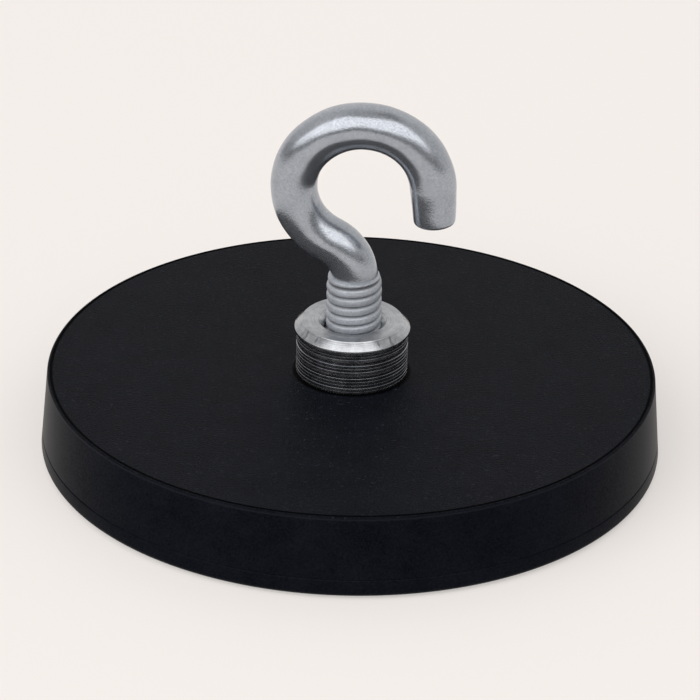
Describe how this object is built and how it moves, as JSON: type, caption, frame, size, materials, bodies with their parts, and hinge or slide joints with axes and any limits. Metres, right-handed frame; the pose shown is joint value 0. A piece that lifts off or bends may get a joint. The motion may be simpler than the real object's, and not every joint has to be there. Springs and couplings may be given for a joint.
{
  "type": "pot magnet",
  "caption": "Rubber-coated disc magnet with a turned, threaded steel bush at its centre and a screwed-in open wire hook.",
  "frame": {"origin": "centre of the flat holding face, under the rubber", "axes": "+Z along the bush and the hook's shank, away from the holding face; the hook is bent in the XZ plane and is open towards +X"},
  "size_m": [0.043, 0.043, 0.0263],
  "materials": {
    "black_rubber": "matt moulded rubber with a fine grain",
    "zinc_plated_wire": "satin zinc plate",
    "turned_steel": "bright zinc plate over fine turning lines",
    "yoke_steel": "plain pressed steel",
    "nickel_plate": "bright nickel plate"
  },
  "bodies": {
    "root": {"rubber_coating": "black_rubber", "steel_plate": "yoke_steel", "magnet_1": "nickel_plate", "magnet_2": "nickel_plate", "magnet_3": "nickel_plate", "magnet_4": "nickel_plate", "magnet_5": "nickel_plate", "magnet_6": "nickel_plate", "threaded_bush": "turned_steel", "hook": "zinc_plated_wire"}
  },
  "joints": []
}
